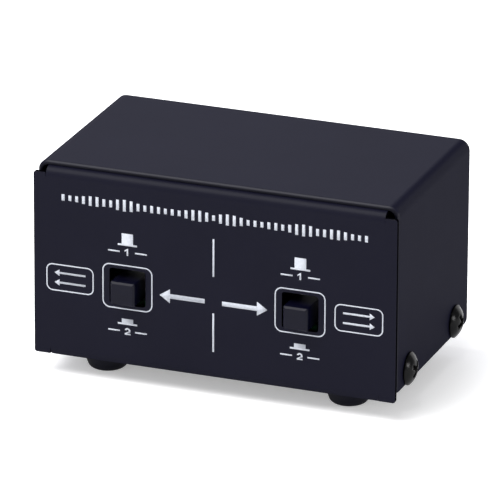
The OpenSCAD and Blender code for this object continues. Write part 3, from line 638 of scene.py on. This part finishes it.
def black_rubber():
    """Moulded rubber: dull black with a dusty bloom and a fine stipple from the mould."""
    material, tree, shader = finish_material("black_rubber", {"Specular IOR Level": 0.15})
    bloom = grain(tree, 3.0)
    stipple = grain(tree, 0.35)
    vary_colour(tree, bloom, shader.inputs["Base Color"], srgb(4, 4, 16), srgb(8, 8, 21))
    vary_value(tree, bloom, shader.inputs["Roughness"], 0.62, 0.76)
    emboss(tree, stipple, shader, 0.03, 0.4)
    return material


feet = [moulded_foot((x, y, 0)) for x, y in foot_spots]
make_piece("feet", gather(feet), black_rubber(), "case", ("feet",))

# Foot screws: four zinc-plated M3 pan-head screws, sunk in the feet. Each goes up through a foot and the
# floor into a standoff, and holds all three together.
small_head = (2.75, 2.0, 0.6)
small_shank = (1.5, 8.0)
foot_screw_twist = 0.5
foot_screws = [
    cross_screw((x, y, foot_sink), (0, 0, -1), small_head, small_shank, foot_screw_twist * k)
    for k, (x, y) in enumerate(foot_spots)]
make_piece("foot_screws", gather(foot_screws), zinc, "case", ("foot_screws",))

# Standoffs: four hexagonal pillars of drawn brass, cut to length and threaded right through. They carry the
# board over the floor, with a foot screw in the lower end and a board screw in the upper one.


def drawn_brass():
    """Bright drawn brass with fine lengthwise marks and a slight tarnish."""
    material, tree, shader = finish_material("drawn_brass", {"Metallic": 1.0})
    tarnish = grain(tree, 2.5)
    drawn = grain(tree, 0.3, stretch=(1, 1, 0.05))
    vary_colour(tree, tarnish, shader.inputs["Base Color"], srgb(190, 150, 78), srgb(222, 186, 108))
    vary_value(tree, drawn, shader.inputs["Roughness"], 0.22, 0.36)
    return material


brass = drawn_brass()
dress("standoffs", brass)

# Circuit board: a 1.6 mm glass-fibre board under a green solder mask, with broad copper tracks from the
# switches to the sockets. Four zinc-plated screws hold it to the standoffs.
track_pitch, track_slant = 3.2, 9.0
track_gap, track_edge = 0.48, 0.04
mask_over_board, mask_over_copper = srgb(9, 42, 25), srgb(20, 72, 42)


def solder_mask():
    """Green mask over copper. The tracks are even bands of x + y, with y held between 0 and the slant's
    length, so that each runs straight, then at 45 degrees, then straight again. Their gaps and edges are
    shares of the pitch. The mask is raised and lighter over them."""
    material, tree, shader = finish_material("solder_mask", {"Specular IOR Level": 0.5})
    place = tree.nodes.new("ShaderNodeTexCoord")
    axes = tree.nodes.new("ShaderNodeSeparateXYZ")
    slant = tree.nodes.new("ShaderNodeClamp")
    slant.inputs["Max"].default_value = track_slant * MM
    shifted = tree.nodes.new("ShaderNodeMath")
    bands = tree.nodes.new("ShaderNodeMath")
    bands.operation = "PINGPONG"
    bands.inputs[1].default_value = track_pitch / 2 * MM
    copper = tree.nodes.new("ShaderNodeMapRange")
    copper.inputs["From Min"].default_value = track_pitch * track_gap / 2 * MM
    copper.inputs["From Max"].default_value = track_pitch * (track_gap / 2 + track_edge) * MM
    tree.links.new(place.outputs["Object"], axes.inputs["Vector"])
    tree.links.new(axes.outputs["Y"], slant.inputs["Value"])
    tree.links.new(axes.outputs["X"], shifted.inputs[0])
    tree.links.new(slant.outputs["Result"], shifted.inputs[1])
    tree.links.new(shifted.outputs["Value"], bands.inputs[0])
    tree.links.new(bands.outputs["Value"], copper.inputs["Value"])
    tracks = copper.outputs["Result"]
    vary_colour(tree, tracks, shader.inputs["Base Color"], mask_over_board, mask_over_copper)
    vary_value(tree, grain(tree, 2.0), shader.inputs["Roughness"], 0.22, 0.34)
    emboss(tree, tracks, shader, 0.03, 0.3)
    return material


dress("circuit_board", solder_mask())
dress("board_screws", zinc)

# Push switches: on each side a folded zinc-plated housing over a brown phenolic base with six brass
# terminals. A black plunger slides in it, with brass clips below, a latch lever on top and a spring behind.


def phenolic_plate():
    """Paper phenolic: brown, with a mottled paper grain and a dull shine."""
    material, tree, shader = finish_material("phenolic_plate", {"Specular IOR Level": 0.4})
    paper = grain(tree, 0.8)
    vary_colour(tree, paper, shader.inputs["Base Color"], srgb(116, 72, 38), srgb(146, 96, 54))
    vary_value(tree, paper, shader.inputs["Roughness"], 0.4, 0.55)
    return material


def moulded_plastic(name, low, high, roughness, shine=0.45):
    """Moulded plastic: nearly even colour, with the fine satin of the mould."""
    material, tree, shader = finish_material(name, {"Specular IOR Level": shine})
    clouds = grain(tree, 5.0)
    satin = grain(tree, 0.25)
    vary_colour(tree, clouds, shader.inputs["Base Color"], low, high)
    vary_value(tree, satin, shader.inputs["Roughness"], *roughness)
    emboss(tree, satin, shader, 0.006, 0.3)
    return material


phenolic = phenolic_plate()
cap_plastic = moulded_plastic("cap_plastic", srgb(5, 5, 22), srgb(7, 7, 25), (0.3, 0.38), 0.14)
spring_r, spring_wire_r, spring_turns = 1.3, 0.2, 7
turn_steps, wire_steps = 20, 12


def coil_spring(x, z, front, back):
    """A coil spring along Y: a wire circle carried along an even helix from the front to the back."""
    turn = np.linspace(0, 2 * np.pi * spring_turns, turn_steps * spring_turns + 1)
    y = np.linspace(front + spring_wire_r, back - spring_wire_r, len(turn))
    middle = np.column_stack([x + spring_r * np.cos(turn), y, z + spring_r * np.sin(turn)])
    outward = np.column_stack([np.cos(turn), np.zeros(len(turn)), np.sin(turn)])
    angle = np.arange(wire_steps) * 2 * np.pi / wire_steps
    along = np.array([0.0, 1.0, 0.0])
    ring = np.cos(angle)[:, None] * outward[:, None, :] + np.sin(angle)[:, None] * along
    return loft(middle[:, None, :] + spring_wire_r * ring)


for side in ("output", "input"):
    dress(f"{side}_switch_housing", zinc)
    dress(f"{side}_switch_base", phenolic)
    dress(f"{side}_switch_terminals", brass)
    dress(f"{side}_plunger", cap_plastic)
    dress(f"{side}_contact_clips", brass)
    dress(f"{side}_latch_lever", zinc)
    spring_low, spring_high = node_box(f"{side}_return_spring")
    spring_x = (spring_low[0] + spring_high[0]) / 2
    spring_z = (spring_low[2] + spring_high[2]) / 2
    spring_shape = coil_spring(spring_x, spring_z, spring_low[1], spring_high[1])
    spring = make_piece(f"{side}_return_spring_coil", spring_shape, zinc, "case",
                        (f"{side}_return_spring",))
    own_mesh(spring)

# Button caps: caps of black moulded plastic, pushed on to the plungers' stems. Each stands out of its window
# with a bevel round its face.
cap_w = 7.0
cap_bevel, cap_arris, cap_hold = 0.5, 0.1, 1.0
cap_corner_r, cap_corner_draw, cap_least_r = 0.3, 0.3, 0.1


def button_cap(low, high):
    """A loft of rounded rectangles from back to front: straight sides, a bevel at about 45 degrees between
    two eased arrises, and the flat face. Each arris is a fan of four rings, set in and back by shares of its
    size. The corners' radius draws in by a share of the inset."""
    half_w, half_h = cap_w / 2, (high[2] - low[2]) / 2
    arris_in = cap_arris * np.array([0.0, 0.16, 0.42, 0.71])
    arris_back = cap_arris * np.array([1.0, 0.552, 0.094, -0.213])
    arris_front = 0.9 * arris_in[::-1]
    inset = np.r_[0, 0, arris_in, cap_bevel - arris_in[::-1], cap_bevel + cap_arris]
    depth = np.r_[high[1] - low[1], cap_bevel + cap_hold, cap_bevel + arris_back, arris_front, 0]
    corner_r = np.maximum(cap_corner_r - cap_corner_draw * inset, cap_least_r)
    sections = np.stack([rounded_loop(half_w - e, half_h - e, r) for e, r in zip(inset, corner_r)])
    x = (low[0] + high[0]) / 2 + sections[..., 0]
    z = (low[2] + high[2]) / 2 + sections[..., 1]
    return loft(np.stack([x, np.broadcast_to(low[1] + depth[:, None], x.shape), z], axis=-1))


for side in ("output", "input"):
    cap_shape = button_cap(*node_box(f"{side}_button_cap"))
    make_piece(f"{side}_button_cap_face", cap_shape, cap_plastic, f"{side}_button",
               (f"{side}_button_cap",))

# Phono sockets: two black moulded blocks of four sockets, screwed to the rear panel from outside. Each socket
# is a nickel-plated shell round a white or red insert, with a sprung brass contact inside and a ground plate
# behind.
shell_r, shell_wall, shell_root_r, shell_flange_t = 4.15, 0.6, 4.4, 1.0
boss_out, boss_step = 0.6, 0.1
insert_gap, insert_sink, insert_ease, insert_steps = 0.05, 0.4, 0.2, 64
jack_in_y, jack_tip_y = shell_low[1], shell_high[1]
boss_y = rear_y + boss_out
insert_r = shell_r - shell_wall - insert_gap
pin_hole_r, pin_hole_ease = 1.7, 0.35
contact_hole_r, contact_sink = 2.1, 1.5


def socket_shell(x, z):
    """A turned shell: the flange behind the block, the root in its bore, and the thin tube with a rolled
    mouth, whose profile is a half circle."""
    lip = np.linspace(0, np.pi, arc_steps + 1)
    lip_r = shell_wall / 2
    flange_y = jack_in_y + shell_flange_t
    radius = np.r_[shell_flange_r, shell_flange_r, shell_root_r, shell_root_r, shell_r,
                   shell_r - lip_r + lip_r * np.cos(lip), shell_r - shell_wall]
    height = np.r_[jack_in_y, flange_y, flange_y, boss_y - boss_step, boss_y,
                   jack_tip_y - lip_r + lip_r * np.sin(lip), jack_in_y]
    return loft(turned(radius, height, (x, 0, z), (0, 1, 0)), closed=True)


def socket_insert(x, z):
    """A turned insert: its face with a bevelled edge and a countersunk pin hole, and the wider bore of the
    contact."""
    face = jack_tip_y - insert_sink
    contact_y = jack_tip_y - contact_sink
    radius = np.array([insert_r, insert_r, insert_r - insert_ease, pin_hole_r + pin_hole_ease, pin_hole_r,
                       pin_hole_r, contact_hole_r, contact_hole_r])
    height = np.array([jack_in_y, face - insert_ease, face, face, face - pin_hole_ease, contact_y, contact_y,
                       jack_in_y])
    return loft(turned(radius, height, (x, 0, z), (0, 1, 0), insert_steps), closed=True)


def nickel_plate():
    """Bright nickel: a warm white metal with fine turning marks and a few duller patches."""
    material, tree, shader = finish_material("nickel_plate", {"Metallic": 1.0})
    patches = grain(tree, 3.0)
    turning = grain(tree, 0.2, stretch=(0.2, 1, 0.2))
    vary_colour(tree, patches, shader.inputs["Base Color"], srgb(202, 198, 188), srgb(222, 219, 211))
    vary_value(tree, patches, shader.inputs["Roughness"], 0.14, 0.24)
    emboss(tree, turning, shader, 0.004, 0.3)
    return material


nickel = nickel_plate()
block_plastic = moulded_plastic("block_plastic", srgb(22, 22, 24), srgb(29, 29, 31), (0.4, 0.52))
insert_white = moulded_plastic("insert_white", srgb(226, 225, 218), srgb(234, 233, 227), (0.24, 0.34))
insert_red = moulded_plastic("insert_red", srgb(176, 20, 22), srgb(190, 28, 28), (0.24, 0.34))
for side, columns in (("output", socket_xs[:2]), ("input", socket_xs[2:])):
    shells = [socket_shell(x, z) for x in columns for z in socket_zs]
    make_piece(f"{side}_shells", gather(shells), nickel, "case", (f"{side}_jack_shells",))
    for x, channel, plastic, slot in ((columns[0], "left", insert_white, "socket_white"),
                                      (columns[1], "right", insert_red, "socket_red")):
        inserts = [socket_insert(x, z) for z in socket_zs]
        make_piece(f"{side}_{channel}_insulators", gather(inserts), plastic, "case",
                   (f"{side}_{channel}_inserts",))
    dress(f"{side}_jack_housing", block_plastic)
    dress(f"{side}_jack_contacts", brass)
    dress(f"{side}_ground_plate", zinc)

# Socket screws: two zinc-plated M3 pan-head screws, one in the middle of each block. They go in from outside,
# through the rear panel into the plastic of the block.
jack_screw_twist, jack_screw_side_twist = 0.4, 0.3
jack_screws = [
    cross_screw((side * jack_screw_x, rear_y, jack_screw_z), (0, 1, 0), small_head, small_shank,
                jack_screw_twist + jack_screw_side_twist * side)
    for side in (-1, 1)]
make_piece("jack_screws", gather(jack_screws), zinc, "case", ("jack_screws",))

# Front print: white ink screened on to the coat. It has frames round the windows, push-in and push-out signs,
# plain numbers, arrows for the two directions, dividing lines and a row of level bars over them all.
ink_in, ink_out = 0.009, 0.021
button_frame = (14.5, 12.8, 2.1, 0.34)
label_frame = (13.8, 7.8, 1.8, 0.33)
label_x, label_z = 41.5, 28.2
label_arrow, label_arrow_rise = (9.0, 0.55, 1.9), 1.4
brim_w, brim_h, crown_w = 5.6, 0.5, 3.3
out_sign_z, out_crown_h = 40.05, 3.0
in_sign_z, in_crown_h = 17.3, 1.2
number_h, number_stroke = 2.0, 0.45
upper_number_z, lower_number_z = 37.25, 14.4
dash_x, dash_w, dash_h = 3.9, 3.4, 0.42
divider_w = 0.5
divider_spans = ((34.7, 45.5), (13.1, 24.2))
bars_x, bars_z, bars_h, bar_w, bar_count = 43.4, 51.5, 3.4, 0.85, 45
bar_least, bar_fast, bar_slow = 0.45, 0.31, 0.113
main_arrow, main_arrow_x, main_arrow_z = (13.0, 1.3, 4.0), 9.0, 27.35


def bar(x, z, width, height):
    """A rectangle of ink about its middle."""
    return np.array([(-1, -1), (1, -1), (1, 1), (-1, 1)]) * (width / 2, height / 2) + (x, z)


def push_sign(x, z, crown_h):
    """The sign of a button seen from the side: a brim with a crown on it."""
    half, crown = brim_w / 2, crown_w / 2
    return np.array([(-half, 0), (half, 0), (half, brim_h), (crown, brim_h), (crown, brim_h + crown_h),
                     (-crown, brim_h + crown_h), (-crown, brim_h), (-half, brim_h)]) + (x, z)


def arrow(x, z, size, way):
    """A plain arrow about its middle that points along X, to the side that way gives. The size is its length,
    the shaft's width and the head's width, and the head is three quarters as long as it is wide."""
    length, shaft, head = size
    half = length / 2
    neck = half - head * 0.75
    points = np.array([
        (-half, -shaft / 2), (neck, -shaft / 2), (neck, -head / 2), (half, 0), (neck, head / 2),
        (neck, shaft / 2), (-half, shaft / 2)])
    return (points if way > 0 else points[::-1] * (-1, 1)) + (x, z)


def number_one(x, z):
    """A plain 1: an upright stroke with a short flag, measured in strokes."""
    s, h = number_stroke, number_h
    flag = [(0.45 * s, h), (-1.3 * s, h - 1.1 * s), (-1.3 * s, h - 2.1 * s), (0, h - 1.25 * s)]
    return np.array([(0, 0), (s, 0), (s, h)] + flag) + (x - s / 2, z)


def number_two(x, z):
    """A plain 2: a half-ring bow, carried on by a slanting stroke to the foot."""
    s, h = number_stroke, number_h
    bow_r, bow_start, bow_end, bow_steps = 0.3 * h, -0.5, np.pi - 0.25, 14
    turn = np.linspace(bow_start, bow_end, bow_steps)[:, None]
    ray = np.hstack([np.cos(turn), np.sin(turn)])
    middle = np.array([0, h - bow_r - s / 2])
    outer = middle + (bow_r + s / 2) * ray
    inner = middle + (bow_r - s / 2) * ray
    width = bow_r + s / 2
    foot = np.array([(-width, 0), (width, 0), (width, s), (-width + 1.5 * s, s)])
    crook = inner[:1] - (0.1 * s, 0.55 * s)
    return np.vstack([foot, crook, outer, inner[::-1], [(-width, 0.9 * s)]]) + (x, z)


def screened(outlines, y, out):
    """Ink patches: each outline in X and Z gets a face in front, a face behind and a band between them."""
    depths = (y + out * ink_in, y - out * ink_out)
    rings = [[np.column_stack([flat[:, 0], np.full(len(flat), depth), flat[:, 1]]) for depth in depths]
             for flat in outlines]
    return gather([loft(np.stack(pair)) for pair in rings])


def frame_line(x, z, size, y):
    """A rounded frame of ink: an outer and an inner rounded rectangle, each at the ink's front and back."""
    width, height, radius, line = size
    outer = rounded_loop(width / 2, height / 2, radius) + (x, z)
    inner = rounded_loop(width / 2 - line, height / 2 - line, radius - line) + (x, z)
    back, front = y + ink_in, y - ink_out
    rings = [np.column_stack([loop[:, 0], np.full(len(loop), depth), loop[:, 1]])
             for loop, depth in ((outer, back), (outer, front), (inner, front), (inner, back))]
    return loft(np.stack(rings), closed=True)


def white_ink():
    """Screen ink: a cool white, a little uneven in cover, with a dull skin."""
    material, tree, shader = finish_material("white_ink", {"Specular IOR Level": 0.3})
    cover_grain = grain(tree, 0.6)
    vary_colour(tree, cover_grain, shader.inputs["Base Color"], srgb(194, 198, 208), srgb(207, 211, 220))
    vary_value(tree, cover_grain, shader.inputs["Roughness"], 0.5, 0.62)
    return material


ink = white_ink()
bar_xs = np.linspace(-bars_x, bars_x, bar_count)
bar_swing = np.abs(np.sin(bar_fast * bar_xs) * np.cos(bar_slow * bar_xs))
bar_heights = bars_h * (bar_least + (1 - bar_least) * bar_swing)
patches = [bar(x, bars_z, bar_w, h) for x, h in zip(bar_xs, bar_heights)]
patches += [bar(0, (low + high) / 2, divider_w, high - low) for low, high in divider_spans]
patches += [arrow(way * main_arrow_x, main_arrow_z, main_arrow, way) for way in (-1, 1)]
frames = []
for way in (-1, 1):
    x = way * button_x
    patches += [push_sign(x, out_sign_z, out_crown_h), push_sign(x, in_sign_z, in_crown_h)]
    patches += [number_one(x, upper_number_z), number_two(x, lower_number_z)]
    for z in (upper_number_z, lower_number_z):
        patches += [bar(x + side * dash_x, z + number_h / 2, dash_w, dash_h) for side in (-1, 1)]
    for z in (label_z - label_arrow_rise, label_z + label_arrow_rise):
        patches.append(arrow(way * label_x, z, label_arrow, way))
    frames.append(frame_line(x, window_z, button_frame, front_y))
    frames.append(frame_line(way * label_x, label_z, label_frame, front_y))
front_print = gather([screened(patches, front_y, 1)] + frames)
make_piece("front_print", front_print, ink, "case")

# Rear print: plain numbers beside the rows of sockets and an arrow over each block, out on one side and in on
# the other, in the same white ink.
rear_number_x = 33.0
rear_arrow, rear_arrow_z = (10.0, 0.8, 2.6), 53.0
rear_patches = []
for way in (-1, 1):
    rear_patches += [number_one(-way * rear_number_x, socket_zs[1] - number_h / 2) * (-1, 1),
                     number_two(-way * rear_number_x, socket_zs[0] - number_h / 2) * (-1, 1)]
    rear_patches.append(arrow(way * jack_screw_x, rear_arrow_z, rear_arrow, way)[::-1])
make_piece("rear_print", screened(rear_patches, rear_y, -1), ink, "case")

# Studio: a wide white floor under the feet, lifted a little in brightness where the camera sees it. A soft
# light hangs overhead, weaker ones stand round about, and the room is grey.
floor_half = 6.0
floor_lift = 0.35
floor_finish = {"Roughness": 0.9, "Specular IOR Level": 0.1}
floor_mesh = bpy.data.meshes.new("studio_floor")
floor_mesh.from_pydata(
    [(-floor_half, -floor_half, 0), (floor_half, -floor_half, 0), (floor_half, floor_half, 0),
     (-floor_half, floor_half, 0)], [], [(0, 1, 2, 3)])
floor_paint, floor_tree, floor_shader = finish_material("floor_paint", floor_finish)
seen_by = floor_tree.nodes.new("ShaderNodeLightPath")
seen = seen_by.outputs["Is Camera Ray"]
for kind in ("Is Glossy Ray", "Is Transmission Ray"):
    either = floor_tree.nodes.new("ShaderNodeMath")
    either.operation = "MAXIMUM"
    floor_tree.links.new(seen, either.inputs[0])
    floor_tree.links.new(seen_by.outputs[kind], either.inputs[1])
    seen = either.outputs["Value"]
lift = floor_tree.nodes.new("ShaderNodeMath")
lift.operation = "MULTIPLY"
lift.inputs[1].default_value = floor_lift
floor_tree.links.new(seen, lift.inputs[0])
floor_tree.links.new(lift.outputs["Value"], floor_shader.inputs["Emission Strength"])
vary_colour(floor_tree, grain(floor_tree, 400.0), floor_shader.inputs["Base Color"], srgb(248, 248, 248),
            srgb(250, 250, 250))
floor_mesh.materials.append(floor_paint)
studio_floor = bpy.data.objects.new("studio_floor", floor_mesh)
bpy.context.collection.objects.link(studio_floor)


def soft_light(name, place, aim, size, power, colour=(1, 1, 1)):
    """A square soft light that faces a point."""
    lamp = bpy.data.lights.new(name, "AREA")
    lamp.color = colour
    lamp.shape = "SQUARE"
    lamp.size = size
    lamp.energy = power
    light = bpy.data.objects.new(name, lamp)
    light.location = place
    light.rotation_euler = (Vector(aim) - Vector(place)).to_track_quat("-Z", "Y").to_euler()
    bpy.context.collection.objects.link(light)


soft_light("overhead_light", (-0.5, -0.4, 1.4), (0, 0, 0), 1.2, 28.0)
soft_light("side_light", (1.35, 0.05, 0.26), (0, 0, 0.03), 0.3, 5.5)
soft_light("back_light", (-0.98, 1.75, 0.82), (0, 0, 0.05), 1.4, 20.0, (0.88, 0.89, 1.0))
soft_light("back_fill", (0.86, 1.8, 0.42), (0, 0, 0.05), 1.0, 5.0)
soft_light("front_light", (-0.75, -1.9, 0.75), (0, 0, 0.03), 1.3, 7.0)
room = bpy.data.worlds.new("room")
room.use_nodes = True
room.node_tree.nodes["Background"].inputs["Color"].default_value = (0.42, 0.42, 0.43, 1)
bpy.context.scene.world = room

# Camera: a long lens from the right of the front and a little above, as the photograph was taken. Its angles
# and the point that it looks at were fitted to the edges of the case.
yaw, pitch, roll = math.radians(20.75), math.radians(20.78), math.radians(0.29)
camera_target = np.array([-0.79, -2.52, 31.83]) * MM
camera_distance = 1.8
camera_lens, camera_sensor = 476.8, 36.0
back = np.array([math.sin(yaw) * math.cos(pitch), -math.cos(yaw) * math.cos(pitch), math.sin(pitch)])
level = np.array([math.cos(yaw), math.sin(yaw), 0.0])
upright = np.cross(back, level)
right = math.cos(roll) * level + math.sin(roll) * upright
up = math.cos(roll) * upright - math.sin(roll) * level
camera_data = bpy.data.cameras.new("camera")
camera_data.lens = camera_lens
camera_data.sensor_width = camera_sensor
camera_data.clip_end = 100.0
camera = bpy.data.objects.new("camera", camera_data)
pose = np.eye(4)
pose[:3] = np.column_stack([right, up, back, camera_target + back * camera_distance])
camera.matrix_world = Matrix(pose.tolist())
bpy.context.collection.objects.link(camera)
bpy.context.scene.camera = camera
bpy.context.scene.view_settings.view_transform = "Standard"
